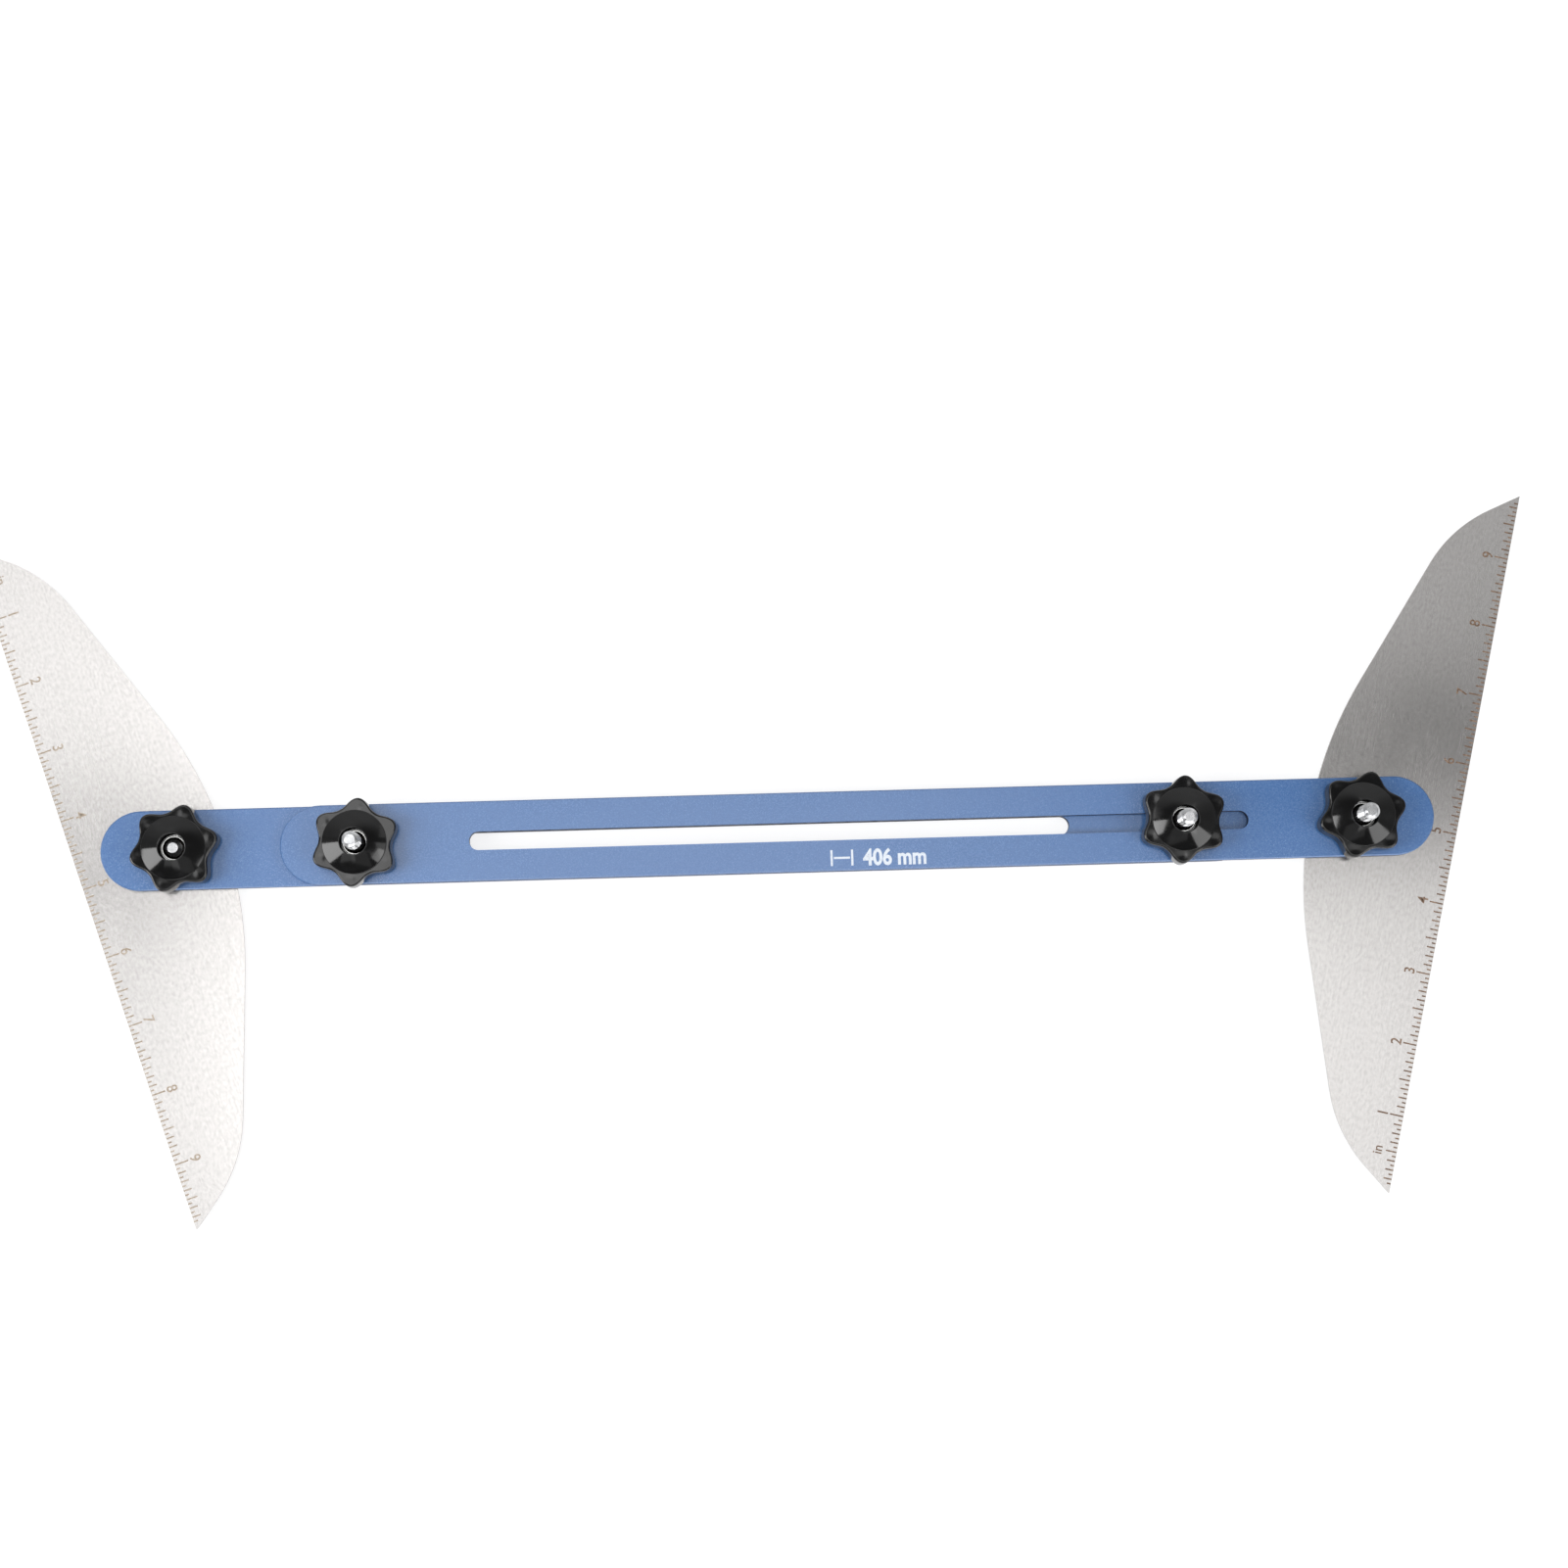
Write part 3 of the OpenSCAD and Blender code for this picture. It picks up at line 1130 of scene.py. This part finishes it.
@dataclass
class SizeMark:
    """Plain length mark printed on the upper bar: a dimension line and the bar's length."""

    from_end: float = 192.4 * MM
    baseline: float = 1.4 * MM
    figure_height: float = 6.1 * MM
    line_length: float = 8.0 * MM
    line_width: float = 0.75 * MM
    line_inset: float = 1.2 * MM
    stop_height: float = 5.6 * MM
    gap: float = 3.4 * MM
    proud: float = 0.02 * MM

    def build(self, frame: Frame) -> bpy.types.Object:
        """Make the mark on the top face of the upper bar.

        Args:
            frame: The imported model.

        Returns:
            The mark.
        """
        low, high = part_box("upper_bar")
        length = round((high.x - low.x) / MM)
        figures = Lettering(self.figure_height, width=0.84, weight=0.03, middle=False)
        words = figures.shell(f"{length} mm", self.proud)
        words = words.moved(np.array([self.line_length + self.gap, 0.0, 0.0]))
        start = np.array([low.x + self.from_end, low.y + self.baseline, high.z])
        whole = Shell.joined([self._dimension_line(), words]).moved(start)
        made = whole.piece("upper_bar_size_mark", WhitePrint("white_print"))
        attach(made, frame.body_of["upper_bar"])
        return made

    def _dimension_line(self) -> Shell:
        """Draw a level line between two upright stops.

        Returns:
            Slabs of three rectangles, of two triangles each.
        """
        middle = self.figure_height / 2
        half = self.line_width / 2
        stop = self.stop_height / 2
        boxes = np.array(
            [
                [0.0, middle - stop, self.line_width, middle + stop],
                [self.line_length - self.line_width, middle - stop, self.line_length, middle + stop],
                [self.line_inset, middle - half, self.line_length - self.line_inset, middle + half],
            ]
        )
        points = boxes[:, [0, 1, 2, 1, 2, 3, 0, 3]].reshape(-1, 2)
        triangles = np.array([[0, 1, 2], [0, 2, 3]]) + 4 * np.arange(3)[:, None, None]
        return Shell.sheet(points, triangles.reshape(-1, 3), self.proud)


@dataclass(frozen=True)
class Softbox:
    """A plain square-cornered lamp of even brightness that the camera doesn't see."""

    name: str
    place: tuple[float, float, float]
    width: float
    depth: float
    radiance: float
    aim: tuple[float, float, float] | None = None

    def build(self) -> None:
        """Hang the lamp, facing down without an aim: its power is its radiance times its area times pi."""
        lamp = bpy.data.lights.new(self.name, "AREA")
        lamp.shape = "RECTANGLE"
        lamp.size, lamp.size_y = self.width, self.depth
        lamp.energy = self.radiance * self.width * self.depth * math.pi
        holder = bpy.data.objects.new(self.name, lamp)
        holder.location = self.place
        ray = Vector(self.aim or (*self.place[:2], 0.0)) - Vector(self.place)
        holder.rotation_euler = ray.to_track_quat("-Z", "Y").to_euler()
        holder.visible_camera = False
        bpy.context.scene.collection.objects.link(holder)


@dataclass
class Studio:
    """White table, plain room, softboxes and the camera."""

    front: float = 0.1
    side: float = 0.26
    back: float = 0.6
    ceiling: float = 0.12
    front_fade: tuple[float, float] = (-0.6, -0.1)
    back_fade: tuple[float, float] = (0.2, 0.85)
    ceiling_fade: tuple[float, float] = (0.6, 0.75)
    floor_half: float = 4.0
    focal: float = 2658.6
    sensor: float = 36.0
    camera_offset: tuple[float, float, float] = (-18.43 * MM, -89.12 * MM, 920.0 * MM)
    camera_turn: tuple[float, float, float] = (0.11686, -0.0225, -0.02997)
    lamps: tuple[Softbox, ...] = (
        Softbox("main_softbox", (-0.0425, 0.03, 1.1), 0.655, 0.46, 2.4),
        Softbox("main_middle", (-0.11, 0.06, 1.1), 0.34, 0.36, 1.45),
        Softbox("left_panel", (-0.92, -0.205, 0.75), 0.59, 0.84, 5.4, (0.13, -0.205, 0.04)),
        Softbox("right_panel", (0.855, -0.542, 0.72), 0.54, 0.76, 3.0, (0.10, -0.045, 0.04)),
        Softbox("front_fill", (0.02, -0.75, 1.1), 0.9, 0.6, 0.3),
        Softbox("front_card", (0.2, -0.8, 0.12), 1.4, 0.24, 3.5, (0.2, 0.0, 0.12)),
        Softbox("right_low", (0.305, -0.1145, 0.35), 0.28, 0.281, 1.12),
        Softbox("right_high", (0.35, 0.25, 0.35), 0.3, 0.28, 0.5),
        Softbox("left_low", (-0.3, -0.14, 0.35), 0.28, 0.32, 0.71),
        Softbox("left_high", (-0.34, 0.2, 0.35), 0.3, 0.26, 1.3),
    )

    def build(self, frame: Frame) -> None:
        """Set up the table, the room, the lamps and the camera.

        Args:
            frame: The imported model.
        """
        self._floor()
        self._room()
        for lamp in self.lamps:
            lamp.build()
        self._camera(frame)
        bpy.context.scene.view_settings.view_transform = "Standard"

    def _floor(self) -> None:
        """Lay the table under the bolt heads."""
        corners = self.floor_half * np.array([[-1, -1, 0], [1, -1, 0], [1, 1, 0], [-1, 1, 0]])
        flat = Shell(corners, np.array([[0, 1, 2, 3]]), np.empty((0, 3), int))
        flat.piece("table", FloorPaint("white_table"))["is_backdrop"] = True

    def _room(self) -> None:
        """Fill the room with plain dim light: pale behind, dim at the sides and above, darkest in front."""
        world = bpy.data.worlds.new("room")
        world.use_nodes = True
        bpy.context.scene.world = world
        graph = Graph(world.node_tree)
        way = graph.node("ShaderNodeTexCoord", output="Generated")
        height = graph.node("ShaderNodeSeparateXYZ", None, {0: way}, "Z")
        depth = graph.node("ShaderNodeSeparateXYZ", None, {0: way}, "Y")
        low = self.front + (self.side - self.front) * depth.step(*self.front_fade)
        low = low + (self.back - self.side) * depth.step(*self.back_fade)
        above = height.step(*self.ceiling_fade)
        level = low * (1 - above) + self.ceiling * above
        light = {"Color": (1.0, 1.0, 1.0, 1.0), "Strength": level}
        shader = graph.node("ShaderNodeBackground", None, light)
        graph.node("ShaderNodeOutputWorld", None, {"Surface": shader})

    def _camera(self, frame: Frame) -> None:
        """Put the camera where the photograph was taken from, measured from midway between the pivots.

        Args:
            frame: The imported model.
        """
        lens = bpy.data.cameras.new("camera")
        lens.sensor_width = self.sensor
        lens.lens = self.focal / PHOTO_WIDTH * self.sensor
        holder = bpy.data.objects.new("camera", lens)
        middle = (frame.axis(Station.LEFT_PIVOT) + frame.axis(Station.RIGHT_PIVOT)) / 2
        holder.location = Vector((*middle, 0.0)) + Vector(self.camera_offset)
        holder.rotation_euler = self.camera_turn
        bpy.context.scene.collection.objects.link(holder)
        bpy.context.scene.camera = holder


@dataclass
class Gauge:
    """The whole gauge on its frame: finishes on the kept nodes and the new pieces."""

    frame: Frame
    plate_thickness: float = 1.5 * MM
    bar_thickness: float = 3.0 * MM

    def dress_nodes(self) -> None:
        """Give the bars, plates, washers and bushes their finishes."""
        for bar in ("upper_bar", "lower_bar"):
            self._dress(bar, BlueCoat(f"{bar}_blue_coat"))
        for side in Side:
            turn = self.frame.swing(side)
            self._dress(f"{side.value}_plate", BrushedSteel(f"{side.value}_plate_brushed_steel", turn))
        for station in Station:
            self._dress(f"{station.value}_washer", ZincPlate(f"{station.value}_washer_zinc"))
            self._dress(f"{station.value}_insert", BushPlate(f"{station.value}_insert_plate"))

    def _dress(self, node: str, finish: Finish) -> None:
        """Put a finish on a kept node and say so."""
        finish.dress(self.frame.nodes[node])
        LOG.info("%s: %s", node, finish.name)

    def add_pieces(self) -> None:
        """Make the knobs, bolts, scales and the size mark."""
        turns = {
            Station.LEFT_PIVOT: self.frame.swing(Side.LEFT),
            Station.RIGHT_PIVOT: self.frame.swing(Side.RIGHT),
        }
        made = [StarKnob().build(self.frame, station) for station in Station]
        for station in Station:
            neck = self.plate_thickness if station in turns else self.bar_thickness
            made.append(StudBolt().build(self.frame, station, neck, turns.get(station, 0.0)))
        made.extend(RuledScale().build(self.frame, side) for side in Side)
        made.append(SizeMark().build(self.frame))
        for piece in made:
            LOG.info("%s: %d faces", piece.name, len(piece.data.polygons))


def main() -> None:
    """Load the frame, dress it, add the pieces and set up the studio."""
    logging.basicConfig(level=logging.INFO, format="%(name)s %(message)s")
    frame = Frame()
    gauge = Gauge(frame)
    gauge.dress_nodes()
    gauge.add_pieces()
    Studio().build(frame)


if __name__ == "__main__":
    main()
